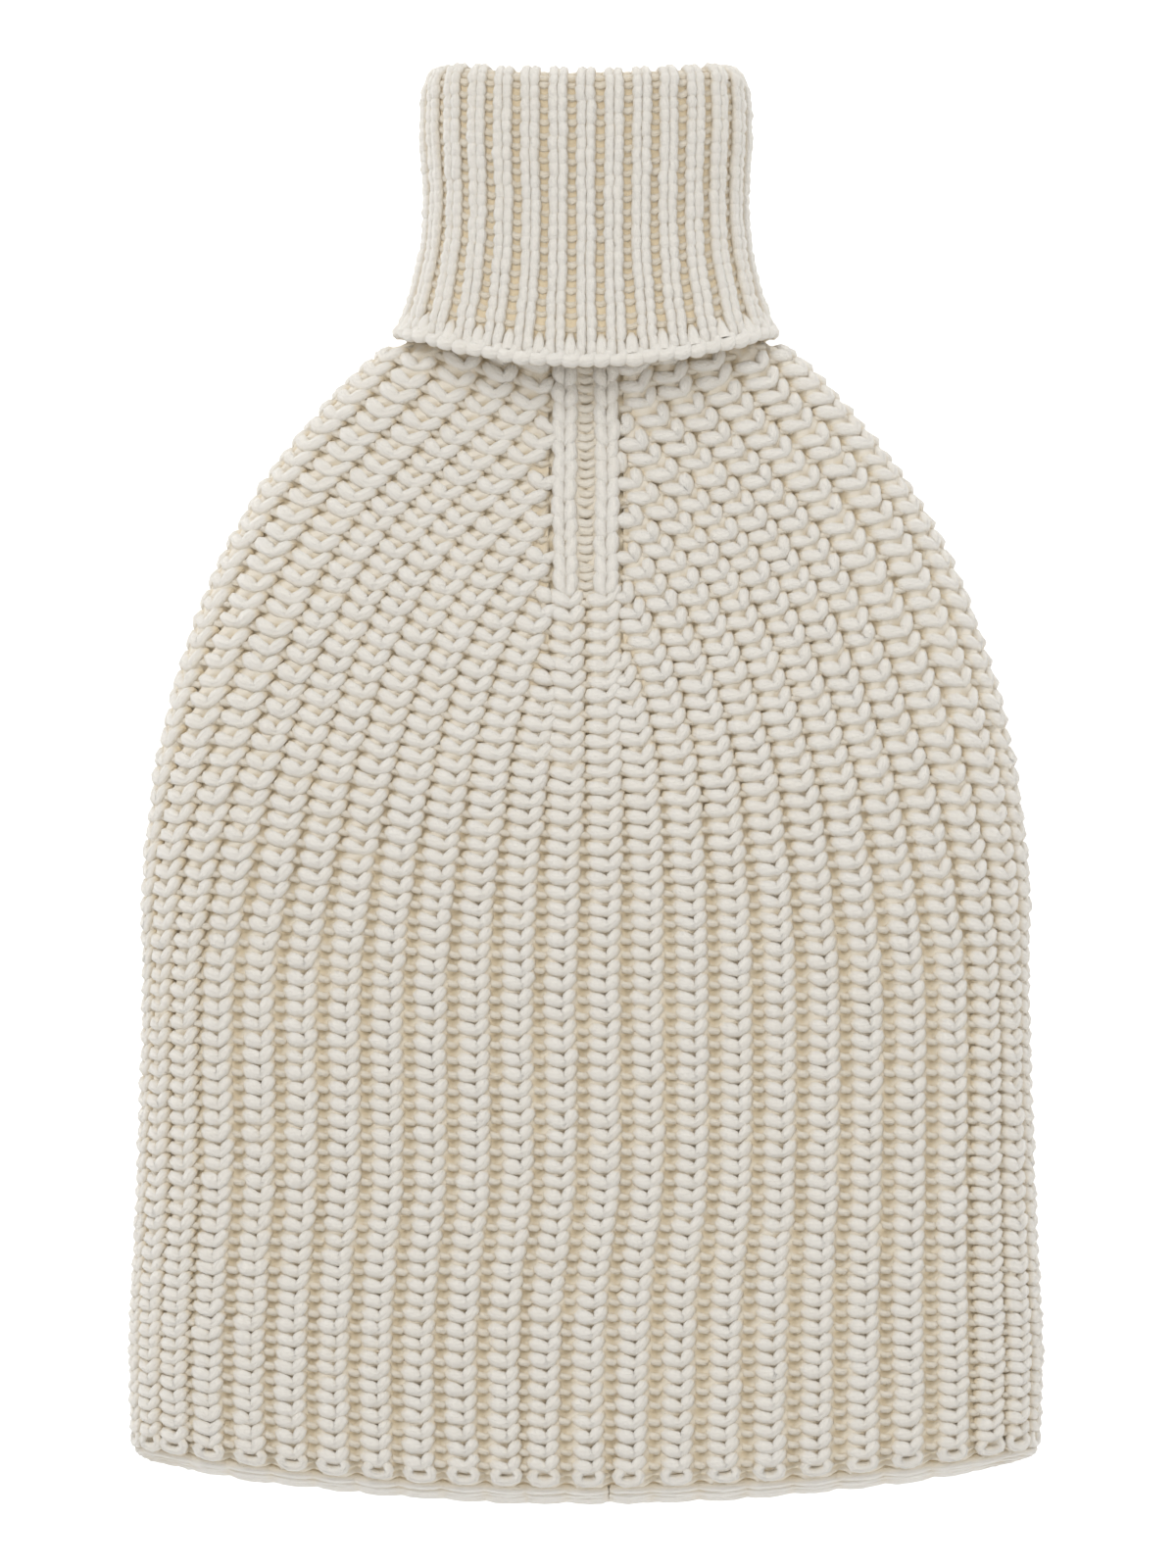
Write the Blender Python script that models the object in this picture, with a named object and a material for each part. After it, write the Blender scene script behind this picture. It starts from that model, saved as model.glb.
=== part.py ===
"""A rib-knit cover for a hot water bottle, lying on its back with its neck towards +Y.

The cover is one piece of cloth. Its wall starts at the closed lower edge and goes up as the ribbed
body, in over the shoulders and up the neck, where it folds outward and comes down again as the
turned-down collar. The whole wall, both faces of it, is one closed chain of rings: up the outside,
over the hem and the fold, and down the inside. The tables below are in millimetres.
"""
import math
from collections import namedtuple

import bmesh
import bpy
import numpy as np

MM = 0.001

# Knit: ribs are counted round the body, and each is a raised strip between two grooves.
RIBS = 50                   # round the body
SIDE_RIB = RIBS / 4         # centre front to the side, where a rib lies on the edge
NINTH = 9                   # grooves this far from the centre keep the pitch seen from the front
LAST_GROOVE = 12            # the last one before the side
FIRST_ENDING, LAST_ENDING = 2, 6    # grooves that run into the middle column on each side
ENDED = LAST_ENDING - 1     # ribs that end on each side of the centre, front and back
COLLAR_RIBS = RIBS - 4 * ENDED
LEAST_RIB = 2.6             # a rib narrower than this has ended, and its points meet in one
FULL_RIB = 7.0              # a rib this wide stands at its full height

# Wall
RIB_HEIGHT = 1.9
BODY_WALL = 4.6             # from a rib's crest to the inside
COLLAR_WALL = 4.6
LAYER_GAP = 1.2             # between the neck and the collar turned down over it
NECK_WALL = 3.4

# Cross-section: a rounded slab, flatter than an ellipse
SLAB_POWER = 3.4
NECK_POWER = 2.5
ARC_STEPS = 120
SLOPE_REACH = 0.6           # along the curve on each side of a point, to find its slope
MERGE = 0.01
SHARP_ANGLE = 40

# Lower edge, where the knit turns under and closes
END_Y = -178.2
END_DEPTH = 20.0
END_HEIGHT = 19.0           # of the closing line above the floor
CORNER_INSET = 9.0
CORNER_POWER = 1.5
EDGE_BOW = 9.5              # how far the middle of the lower edge hangs below its corners
BOW_RUN = 70.0

# Turned-down collar
TOP_Y = 178.6
TOP_DIP = 2.4               # the fold dips between its two corners
HEM_SIDE_Y = 111.2
HEM_MIDDLE_Y = 103.0
FOLD_SHARE = 0.5            # how far round the fold the ribs still stand

# Body and shoulders, from the lower edge up. y runs along the cover from its middle; front and back
# are heights above the floor, and a back below it lies pressed flat; rib is the pitch seen from the
# front; ninth is where the ninth groove lies, measured round from the centre; drift is how far the
# middle of the front has slid sideways.
Station = namedtuple("Station", "y half_width front back rib ninth drift")
BODY = [
    Station(-178.2, 112.4, 48.0, -2.0, 11.0, 97.5, -5.0),
    Station(-145.0, 113.0, 50.0, -2.0, 10.9, 97.5, -5.0),
    Station(-121.0, 112.2, 51.0, -2.0, 10.8, 96.8, -3.8),
    Station(-97.0, 111.1, 51.5, -2.0, 10.66, 96.0, -1.0),
    Station(-49.0, 109.7, 51.5, -2.0, 10.66, 95.9, -0.8),
    Station(-24.0, 109.8, 51.0, -2.0, 10.2, 92.0, -0.4),
    Station(0.0, 107.1, 50.2, -2.0, 9.7, 86.4, 0.0),
    Station(10.0, 105.4, 49.6, -2.0, 9.35, 82.6, 0.0),
    Station(28.5, 100.8, 47.2, -2.0, 9.0, 75.6, 0.0),
    Station(45.5, 95.0, 44.6, -1.6, 9.0, 67.8, 0.0),
    Station(61.7, 87.7, 41.8, -0.8, 9.7, 58.4, 0.0),
    Station(77.4, 78.4, 39.4, 0.8, 10.9, 45.6, 0.0),
    Station(91.0, 67.3, 38.0, 3.2, 10.8, 32.6, 0.0),
    Station(98.5, 60.6, 37.4, 4.4, 9.8, 26.6, 0.0),
    Station(105.5, 53.4, 37.0, 5.0, 8.0, 25.0, 0.0),
]
MIDDLE_RIB = 9.2            # the two middle columns keep this width up to the neck

# Where the ribbed rows of the body lie: round the lower edge by angle, then by height
END_ANGLES = (6, 25, 46, 68, 88)
BODY_ROWS = (-140, -112, -82, -52, -26, -4, 14, 28, 38, 46, 54, 62, 70, 78, 86, 94, 101, 106)
INNER_END_ANGLES = (10, 48, 88)
INNER_ROWS = (-130, -80, -30, 0, 24, 46, 66, 84, 97, 106)
INNER_SHARES = (0.0, 0.22, 0.44, 0.62, 0.75, 0.85, 0.93)    # points between the centre and the side

# The bend from the shoulder into the neck, and the neck itself, hidden under the collar: plain
Ring = namedtuple("Ring", "y half_width front back")
NECK = [
    Ring(109.5, 47.4, 36.8, 5.2),
    Ring(112.2, 40.6, 36.6, 5.5),
    Ring(117.0, 35.4, 36.6, 5.8),
    Ring(145.0, 34.5, 36.2, 5.8),
    Ring(171.0, 35.2, 36.6, 5.8),
]

# Collar, from the fold down. down is the share of the way to the hem.
Collar = namedtuple("Collar", "down half_width front back")
COLLAR = [
    Collar(0.0, 41.0, 42.4, 0.0),
    Collar(0.18, 41.3, 42.5, 0.0),
    Collar(0.42, 40.4, 42.1, 0.0),
    Collar(0.6, 40.9, 42.6, 0.0),
    Collar(0.78, 43.0, 44.2, 0.0),
    Collar(0.92, 45.6, 46.4, 0.0),
    Collar(1.0, 47.2, 47.8, 0.0),
]
COLLAR_ROWS = (0.0, 0.22, 0.42, 0.6, 0.75, 0.88, 1.0)
COLLAR_INNER_ROWS = (0.99, 0.8, 0.5, 0.02)
FOLD_ANGLES = (35, 80, 125)

GROOVE, CREST_START, CREST_END = 0.0, 0.27, 0.73    # places across one rib
COLLAR_PLACES = ((-0.27, False), (0.27, False), (0.5, True))    # from a rib's middle; True in a groove

WOOL = (0.863, 0.831, 0.745, 1.0)
ROUGHNESS = 0.9


def smooth_row(table, place):
    """The row of a table at a place between its rows, on a smooth curve through each column."""
    places = [row[0] for row in table]
    place = min(max(place, places[0]), places[-1])
    after = min(max(np.searchsorted(places, place), 1), len(table) - 1)
    before = after - 1
    span = places[after] - places[before]
    t = (place - places[before]) / span
    values = []
    for column in range(1, len(table[0])):
        v = [row[column] for row in table]
        slopes = []
        for i in (before, after):
            low, high = max(i - 1, 0), min(i + 1, len(table) - 1)
            slopes.append((v[high] - v[low]) / (places[high] - places[low]) * span)
        values.append((2 * t**3 - 3 * t**2 + 1) * v[before] + (t**3 - 2 * t**2 + t) * slopes[0]
                      + (3 * t**2 - 2 * t**3) * v[after] + (t**3 - t**2) * slopes[1])
    return type(table[0])(place, *values)


class Slab:
    """A rounded cross-section: one quarter curve for the front and one for the back."""

    def __init__(self, half_width, front, back, power, middle=None):
        self.half_width = half_width
        self.middle = (front + back) / 2 if middle is None else middle
        turn = np.linspace(0, math.pi / 2, ARC_STEPS)
        self.curves = {}
        for face, reach in (("front", front - self.middle), ("back", self.middle - back)):
            x = half_width * np.sin(turn) ** (2 / power)
            z = reach * np.cos(turn) ** (2 / power)
            arc = np.concatenate([[0], np.cumsum(np.hypot(np.diff(x), np.diff(z)))])
            self.curves[face] = (x, z, arc)

    def quarter(self, face):
        return self.curves[face][2][-1]

    def point(self, face, side, arc, inset):
        """x, z at an arc length from the centre line, moved inward by inset."""
        x, z, arcs = self.curves[face]
        a, b = max(arc - SLOPE_REACH, 0), min(arc + SLOPE_REACH, arcs[-1])
        dx = np.interp(b, arcs, x) - np.interp(a, arcs, x)
        dz = np.interp(b, arcs, z) - np.interp(a, arcs, z)
        long = math.hypot(dx, dz)
        px = np.interp(arc, arcs, x) + inset * dz / long
        pz = np.interp(arc, arcs, z) - inset * dx / long
        upward = 1 if face == "front" else -1
        return side * px, self.middle + upward * pz


def quarter_of(place):
    """Which quarter a place round the cover is in: its count from the centre, its side, its face."""
    if place <= SIDE_RIB:
        return place, 1, "front"
    if place <= RIBS / 2:
        return RIBS / 2 - place, 1, "back"
    if place <= 3 * RIBS / 4:
        return place - RIBS / 2, -1, "back"
    return RIBS - place, -1, "front"


def groove_arc(station, slab, face, count):
    """Arc length from the centre to a rib place, which may lie between two grooves."""
    quarter = slab.quarter(face)
    grooves = [0.0]
    middle_rib = min(MIDDLE_RIB, station.rib) if station.y > 0 else station.rib
    for n in range(1, NINTH + 1):
        arc = station.ninth - station.rib * (NINTH - n)
        grooves.append(middle_rib if n == 1 else max(arc, middle_rib))
    side_rib = (quarter - station.ninth) / (SIDE_RIB - NINTH)
    grooves += [station.ninth + side_rib * (n - NINTH) for n in range(NINTH + 1, LAST_GROOVE + 1)]
    return float(np.interp(count, [*range(LAST_GROOVE + 1), SIDE_RIB], [*grooves, quarter]))


def body_slab(station, angle=None):
    """The body's cross-section, drawn in where it rounds the lower edge at an angle."""
    if angle is None:
        return Slab(station.half_width, station.front, station.back, SLAB_POWER)
    open_share = math.sin(math.radians(angle))
    middle = (station.front + station.back) / 2
    line = END_HEIGHT + (middle - END_HEIGHT) * open_share
    front = line + (station.front - middle) * open_share
    back = line - (middle - station.back) * open_share
    width = station.half_width - CORNER_INSET * (1 - open_share) ** CORNER_POWER
    return Slab(width, front, back, SLAB_POWER, line)


def bow_at(y):
    """How far the sides of a row stand above its middle near the lower edge."""
    fade = min(max(1 - (y - END_Y) / BOW_RUN, 0), 1)
    return EDGE_BOW * fade * fade * (3 - 2 * fade)


def row_height(y, x, half_width):
    return y + bow_at(y) * (x / half_width) ** 2


def ribbed_ring(y, angle=None):
    """One row of the body's outside, with a groove and two crest points for each rib."""
    station = smooth_row(BODY, y)
    slab = body_slab(station, angle)
    places, points = [], []
    for rib in range(RIBS):
        for across in (GROOVE, CREST_START, CREST_END):
            place = rib + across
            count, side, face = quarter_of(place)
            near = groove_arc(station, slab, face, math.floor(count))
            far = groove_arc(station, slab, face, min(math.floor(count) + 1, SIDE_RIB))
            middle_groove = groove_arc(station, slab, face, 1)
            arc = groove_arc(station, slab, face, count)
            depth = RIB_HEIGHT
            if FIRST_ENDING - 1 < count <= LAST_ENDING and (
                    far if across else arc) - middle_groove < LEAST_RIB:
                arc = middle_groove
            elif across:
                width = FULL_RIB if count > SIDE_RIB - 1 else far - near
                depth = RIB_HEIGHT * (1 - min(width / FULL_RIB, 1))
            arc *= side
            if face == "front":
                arc += station.drift * (1 - abs(arc) / slab.quarter(face))
            x, z = slab.point(face, 1 if arc >= 0 else -1, abs(arc), depth)
            places.append(place)
            points.append((x, row_height(y, x, slab.half_width), max(z, depth)))
    return places, points


def plain_ring(slab, height_of, inset, lift=0.0):
    """A row without ribs: the same few shares of each quarter, centre to side."""
    shares = [(share, 1, "front") for share in INNER_SHARES] + [(1.0, 1, "front")]
    shares += [(share, 1, "back") for share in reversed(INNER_SHARES)]
    shares += [(share, -1, "back") for share in INNER_SHARES[1:]] + [(1.0, -1, "back")]
    shares += [(share, -1, "front") for share in reversed(INNER_SHARES[1:])]
    places, points = [], []
    for share, side, face in shares:
        x, z = slab.point(face, side, share * slab.quarter(face), inset)
        places.append(share_place(share, side, face))
        points.append((x, height_of(x), max(z, lift)))
    return places, points


def share_place(share, side, face):
    """A share of a quarter as a place round the cover, on the same scale as the rib places."""
    count = share * SIDE_RIB
    if side > 0:
        return count if face == "front" else RIBS / 2 - count
    return RIBS / 2 + count if face == "back" else RIBS - count


def collar_height(down, x, half_width):
    """Height of a place on the collar: the fold dips in the middle, and the hem arcs down."""
    centre = 1 - min((x / half_width) ** 2, 1)
    top = TOP_Y - TOP_DIP * centre - COLLAR_WALL
    hem = HEM_SIDE_Y + (HEM_MIDDLE_Y - HEM_SIDE_Y) * centre
    return top + (hem - top) * down


def collar_places():
    """Places round the collar: each rib's groove and crest, as rib places of the body."""
    for rib in range(COLLAR_RIBS):
        for across, is_groove in COLLAR_PLACES:
            yield (rib + across) % COLLAR_RIBS, is_groove


def collar_share(rib):
    """Share of a quarter, side and face of a place counted in collar ribs from the centre front."""
    quarter = COLLAR_RIBS / 4
    if rib <= quarter:
        return rib / quarter, 1, "front"
    if rib <= 2 * quarter:
        return 2 - rib / quarter, 1, "back"
    if rib <= 3 * quarter:
        return rib / quarter - 2, -1, "back"
    return 4 - rib / quarter, -1, "front"


def collar_ring(down, extra_inset=0.0, out=0.0):
    """One ribbed row of the collar's outside, or of the fold when it is moved inward and up."""
    row = smooth_row(COLLAR, down)
    slab = Slab(row.half_width, row.front, row.back, NECK_POWER)
    stand = 1.0 if extra_inset == 0 else max(0.0, 1 - extra_inset / (2 * COLLAR_WALL) / FOLD_SHARE)
    found = []
    for rib, is_groove in collar_places():
        share, side, face = collar_share(rib)
        depth = RIB_HEIGHT * stand if is_groove else 0.0
        x, z = slab.point(face, side, share * slab.quarter(face), extra_inset + depth)
        y = collar_height(down, x, slab.half_width) + out * (1 - depth / (2 * COLLAR_WALL))
        found.append((share_place(share, side, face), (x, y, max(z, depth))))
    found.sort()
    return [place for place, _ in found], [point for _, point in found]


class Chain:
    """Rings of points joined one after another into a tube, and closed at its two ends."""

    def __init__(self):
        self.mesh = bmesh.new()
        self.last = None

    def add(self, ring):
        places, points = ring
        verts = [self.mesh.verts.new([c * MM for c in point]) for point in points]
        if self.last:
            self.join(self.last, (places, verts))
        self.last = (places, verts)
        return self.last

    def join(self, low, high):
        """Faces between two rings that may have different places: step along whichever is behind."""
        i = j = 0
        while i < len(low[0]) or j < len(high[0]):
            next_low = low[0][(i + 1) % len(low[0])] + (RIBS if i + 1 >= len(low[0]) else 0)
            next_high = high[0][(j + 1) % len(high[0])] + (RIBS if j + 1 >= len(high[0]) else 0)
            a, b = low[1][i % len(low[1])], high[1][j % len(high[1])]
            a2, b2 = low[1][(i + 1) % len(low[1])], high[1][(j + 1) % len(high[1])]
            both = abs(next_low - next_high) < 1e-6 and i < len(low[0]) and j < len(high[0])
            if both:
                self.mesh.faces.new((a, a2, b2, b))
                i, j = i + 1, j + 1
            elif j >= len(high[0]) or (i < len(low[0]) and next_low < next_high):
                self.mesh.faces.new((a, a2, b))
                i += 1
            else:
                self.mesh.faces.new((a, b2, b))
                j += 1

    def close(self, ring):
        """Close a flat ring by joining each front point to the back point under it."""
        at = {round(place, 4): vert for place, vert in zip(*ring)}
        front = [p - RIBS for p in at if p >= RIBS - SIDE_RIB] + [p for p in at if p <= SIDE_RIB]
        front.sort()
        for left, right in zip(front, front[1:]):
            corners = [at[round(p % RIBS, 4)] for p in (left, right)]
            corners += [at[round((RIBS / 2 - p) % RIBS, 4)] for p in (right, left)]
            self.mesh.faces.new(list(dict.fromkeys(corners)))


def height_level(y, slab):
    return lambda x: row_height(y, x, slab.half_width)


def build_cover():
    chain = Chain()
    # outside of the body, round the lower edge and up to the shoulders
    first = None
    for angle in END_ANGLES:
        ring = chain.add(ribbed_ring(END_Y + END_DEPTH * (1 - math.cos(math.radians(angle))), angle))
        first = first or ring
    for y in BODY_ROWS:
        chain.add(ribbed_ring(y))
    # neck, hidden by the collar
    for row in NECK:
        slab = Slab(row.half_width, row.front, row.back, NECK_POWER)
        chain.add(plain_ring(slab, lambda x, y=row.y: y, 0))
    # down the inside of the collar, round its hem and up its outside
    for down in reversed(COLLAR_INNER_ROWS):
        row = smooth_row(COLLAR, down)
        slab = Slab(row.half_width, row.front, row.back, NECK_POWER)
        chain.add(plain_ring(slab, lambda x, d=down, w=row.half_width: collar_height(d, x, w),
                             COLLAR_WALL, COLLAR_WALL))
    for down in reversed(COLLAR_ROWS):
        chain.add(collar_ring(down))
    # over the fold and down the inside
    radius = (COLLAR_WALL + LAYER_GAP + NECK_WALL) / 2
    for angle in FOLD_ANGLES:
        turn = math.radians(angle)
        chain.add(collar_ring(0.0, radius * (1 - math.cos(turn)), COLLAR_WALL * math.sin(turn)))
    for row in reversed(NECK):
        slab = Slab(row.half_width, row.front, row.back, NECK_POWER)
        chain.add(plain_ring(slab, lambda x, y=row.y: y, NECK_WALL))
    for y in reversed(INNER_ROWS):
        slab = body_slab(smooth_row(BODY, y))
        chain.add(plain_ring(slab, height_level(y, slab), BODY_WALL, BODY_WALL))
    for angle in reversed(INNER_END_ANGLES):
        y = END_Y + BODY_WALL + (END_DEPTH - BODY_WALL) * (1 - math.cos(math.radians(angle)))
        slab = body_slab(smooth_row(BODY, y), angle)
        chain.add(plain_ring(slab, height_level(y, slab), BODY_WALL, BODY_WALL))
    chain.close(first)
    chain.close(chain.last)
    return chain.mesh


def wool():
    material = bpy.data.materials.new("cream_wool")
    material.use_nodes = True
    shader = material.node_tree.nodes["Principled BSDF"]
    shader.inputs["Base Color"].default_value = WOOL
    shader.inputs["Roughness"].default_value = ROUGHNESS
    shader.inputs["Metallic"].default_value = 0.0
    return material


for old in list(bpy.data.objects):
    bpy.data.objects.remove(old)

knit = build_cover()
bmesh.ops.remove_doubles(knit, verts=knit.verts, dist=MERGE * MM)
bmesh.ops.recalc_face_normals(knit, faces=knit.faces)
bmesh.ops.triangulate(knit, faces=knit.faces)
mesh = bpy.data.meshes.new("cover")
knit.to_mesh(mesh)
knit.free()
mesh.shade_smooth()
mesh.set_sharp_from_angle(angle=math.radians(SHARP_ANGLE))
cover = bpy.data.objects.new("cover", mesh)
mesh.materials.append(wool())
bpy.context.scene.collection.objects.link(cover)
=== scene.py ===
import math
from collections import namedtuple

import bmesh
import bpy
import numpy as np
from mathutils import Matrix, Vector


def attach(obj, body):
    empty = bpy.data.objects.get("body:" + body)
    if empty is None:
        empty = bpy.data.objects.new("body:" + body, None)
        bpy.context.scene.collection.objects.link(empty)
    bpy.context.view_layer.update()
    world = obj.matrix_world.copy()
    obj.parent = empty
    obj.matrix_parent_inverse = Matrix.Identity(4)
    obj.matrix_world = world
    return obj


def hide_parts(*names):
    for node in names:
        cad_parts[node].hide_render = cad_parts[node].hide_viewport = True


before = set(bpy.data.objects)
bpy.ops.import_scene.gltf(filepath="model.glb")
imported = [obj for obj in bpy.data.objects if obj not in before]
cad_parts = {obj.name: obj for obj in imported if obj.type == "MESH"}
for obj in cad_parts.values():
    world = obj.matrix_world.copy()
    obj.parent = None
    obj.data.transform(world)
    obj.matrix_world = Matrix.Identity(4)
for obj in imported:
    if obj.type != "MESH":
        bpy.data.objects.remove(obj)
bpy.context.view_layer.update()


# ---- The cloth ----
# The cover is one tube of chunky rib knit, worked in cream wool from its closed lower edge up over the
# shoulders to the neck, where it folds outward into the collar. This first piece is the cloth behind
# the raised stitches: the gaps between them show it.
MM = 0.001
RIBS = 50                   # round the body, counted from the centre front
SIDE_RIB = RIBS / 4
NINTH = 9                   # grooves this far from the centre keep the pitch seen from the front
LAST_GROOVE = 12
MIDDLE_RIB = 9.2            # the two middle columns keep this width up to the neck
MIDDLE_EDGE = 7.5           # and hide the ends of the other ribs as far out as this
STEP_OFF = 0.0001           # a hair's breadth past the second rib's edge, in ribs
ROUND_OFF = 1e-6            # so that a rib's outer edge counts as its own
ROW = 3.7                   # height of one knitted row where the knit isn't stretched
SLAB_POWER = 3.4            # the body's cross-section is a rounded slab
NECK_POWER = 2.5
QUARTER_POINTS = 160        # worked out along each quarter of a cross-section
HALF_STEP = 0.6             # along it to both sides, for the way out of the cloth
END_Y = -178.2              # lower edge, where the cloth turns under
END_DEPTH = 9.0             # from there up to where it has turned all the way
END_HEIGHT = 19.0           # of the line along which front and back close
FIRST_TURN = 3              # degrees from that line to the first row
CORNER_INSET = 9.0          # the lower corners draw in by this, in a curve of this power
CORNER_POWER = 1.5
EDGE_BOW = 9.5              # the middle of the lower edge hangs below its corners
BOW_RUN = 70.0              # which dies out this far up
RIB_DEPTH = 1.4             # the cloth behind the loops of a rib, below the rib's crest
RIB_PIT = 2.6               # in the small pits inside the loops
BAR_DEPTH = 2.2             # between two ribs
PIT_DEPTH = 3.5             # and in the pits there
SHOULDER_LIFT = 0.15        # the knit is denser on the shoulders, so all but its pits lies higher
FIRST_LOOP = 8.2            # the row that the lowest loops start from
LOOP_RIBS = (7.7, 10.4)     # a loop fills a rib of this width, below and on the shoulders
SHOULDER = (-40.0, 20.0)    # heights between which the one changes to the other
CLOTH_WALL = 4.5            # from the crests to the inside
LEAST_RIB = 5.0             # a rib narrower than this has ended

Station = namedtuple("Station", "y half_width front back rib ninth drift")
BODY = [
    Station(-178.2, 112.4, 48.0, -2.0, 11.0, 97.5, -5.0),
    Station(-145.0, 113.0, 50.0, -2.0, 10.9, 97.5, -5.0),
    Station(-121.0, 112.2, 51.0, -2.0, 10.8, 96.8, -3.8),
    Station(-97.0, 111.1, 51.5, -2.0, 10.66, 96.0, -1.0),
    Station(-49.0, 109.7, 51.5, -2.0, 10.66, 95.9, -0.8),
    Station(-24.0, 109.8, 51.0, -2.0, 10.2, 92.0, -0.4),
    Station(0.0, 107.1, 50.2, -2.0, 9.7, 86.4, 0.0),
    Station(10.0, 105.4, 49.6, -2.0, 9.35, 82.6, 0.0),
    Station(28.5, 100.8, 47.2, -2.0, 9.0, 75.6, 0.0),
    Station(45.5, 95.0, 44.6, -1.6, 9.0, 67.8, 0.0),
    Station(61.7, 87.7, 41.8, -0.8, 9.7, 58.4, 0.0),
    Station(77.4, 78.4, 39.4, 0.8, 10.9, 45.6, 0.0),
    Station(91.0, 67.3, 38.0, 3.2, 10.8, 32.6, 0.0),
    Station(98.5, 60.6, 37.4, 4.4, 9.8, 26.6, 0.0),
    Station(105.5, 53.4, 37.0, 5.0, 8.0, 25.0, 0.0),
    Station(109.5, 47.4, 36.8, 5.2, 7.4, 24.0, 0.0),
]
# Distance between rows, measured straight up the front: the knit is pulled longer over the shoulders,
# first at the sides and last in the middle, so its rows curve up towards both sides.
ROWS_FROM_CENTRE = (0, 29, 58, 85)
Course = namedtuple("Course", "y centre inner outer side")
COURSES = [
    Course(-90, 3.70, 3.70, 3.76, 3.80),
    Course(-52, 3.70, 3.72, 3.87, 3.96),
    Course(-35, 3.66, 3.74, 3.95, 4.18),
    Course(-18, 3.68, 3.84, 4.15, 4.50),
    Course(-1, 3.72, 3.86, 4.25, 4.70),
    Course(16, 3.72, 4.02, 4.50, 4.85),
    Course(33, 3.84, 4.24, 4.75, 4.95),
    Course(50, 4.40, 4.62, 4.85, 4.95),
    Course(67, 4.60, 4.80, 4.80, 4.90),
    Course(110, 4.70, 4.80, 4.80, 4.80),
]
Ring = namedtuple("Ring", "y half_width front back")
NECK = [
    Ring(112.2, 40.6, 36.6, 5.5),
    Ring(117.0, 35.4, 36.6, 5.8),
    Ring(145.0, 34.5, 36.2, 5.8),
    Ring(171.0, 35.2, 36.6, 5.8),
]
PER_RIB = 4                 # columns of the pattern surface in each rib
CLOTH_RISE = 14.0           # between the rows of the cloth's inside
OVERLAP = 1                 # ribs by which the pattern surface laps over itself at the centre back
PATTERN = 100.0             # ribs and rows over the whole of the pattern's UV square
SHOULDER_YARN = 1.04        # the yarn lies looser over the shoulders, where it fills taller rows
LOOSENING = (-30.0, 30.0)   # heights between which it does so more and more
TURN_STEP = 4               # degrees between rows where the lower edge turns under


def colour(hex_code):
    """Linear colour from an sRGB hex code."""
    parts = [int(hex_code[i:i + 2], 16) / 255 for i in (1, 3, 5)]
    return [c / 12.92 if c <= 0.04045 else ((c + 0.055) / 1.055) ** 2.4 for c in parts] + [1.0]


def smooth_row(table, place):
    """The row of a table at a place between its rows, on a smooth curve through each column."""
    places = [row[0] for row in table]
    place = min(max(place, places[0]), places[-1])
    after = min(max(int(np.searchsorted(places, place)), 1), len(table) - 1)
    before = after - 1
    span = places[after] - places[before]
    t = (place - places[before]) / span
    values = []
    for column in range(1, len(table[0])):
        v = [row[column] for row in table]
        slopes = []
        for i in (before, after):
            low, high = max(i - 1, 0), min(i + 1, len(table) - 1)
            slopes.append((v[high] - v[low]) / (places[high] - places[low]) * span)
        values.append((2 * t**3 - 3 * t**2 + 1) * v[before] + (t**3 - 2 * t**2 + t) * slopes[0]
                      + (3 * t**2 - 2 * t**3) * v[after] + (t**3 - t**2) * slopes[1])
    return type(table[0])(place, *values)


def quarter_curve(half_width, reach, power):
    """A quarter of a rounded slab's cross-section, from its centre line round to its side."""
    turn = np.linspace(0, math.pi / 2, QUARTER_POINTS)
    return half_width * np.sin(turn) ** (2 / power), reach * np.cos(turn) ** (2 / power)


def slab_points(half_width, front, back, power, middle, count, arc_of, inset, drift=0.0):
    """x and z of places round a rounded slab, moved inward by inset. count runs from the centre
    front to the centre back, negative on the left, and arc_of turns a count from a centre line
    into an arc length on that face's quarter curve."""
    x, z = np.empty(len(count)), np.empty(len(count))
    inset = np.broadcast_to(inset, len(count))
    for face, reach, upward in (("front", front - middle, 1), ("back", middle - back, -1)):
        here = (np.abs(count) <= SIDE_RIB) == (face == "front")
        cx, cz = quarter_curve(half_width, reach, power)
        arcs = np.concatenate([[0], np.cumsum(np.hypot(np.diff(cx), np.diff(cz)))])
        from_centre = np.abs(count[here])
        if face == "back":
            from_centre = 2 * SIDE_RIB - from_centre
        arc = arc_of(from_centre, arcs[-1]) * np.where(count[here] < 0, -1, 1)
        if face == "front":
            arc = arc + drift * (1 - np.abs(arc) / arcs[-1])
        a = np.maximum(np.abs(arc) - HALF_STEP, 0)
        b = np.minimum(np.abs(arc) + HALF_STEP, arcs[-1])
        dx = np.interp(b, arcs, cx) - np.interp(a, arcs, cx)
        dz = np.interp(b, arcs, cz) - np.interp(a, arcs, cz)
        long = np.hypot(dx, dz)
        side = np.where(arc < 0, -1, 1)
        x[here] = side * (np.interp(np.abs(arc), arcs, cx) + inset[here] * dz / long)
        z[here] = middle + upward * (np.interp(np.abs(arc), arcs, cz) - inset[here] * dx / long)
    return x, z


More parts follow.
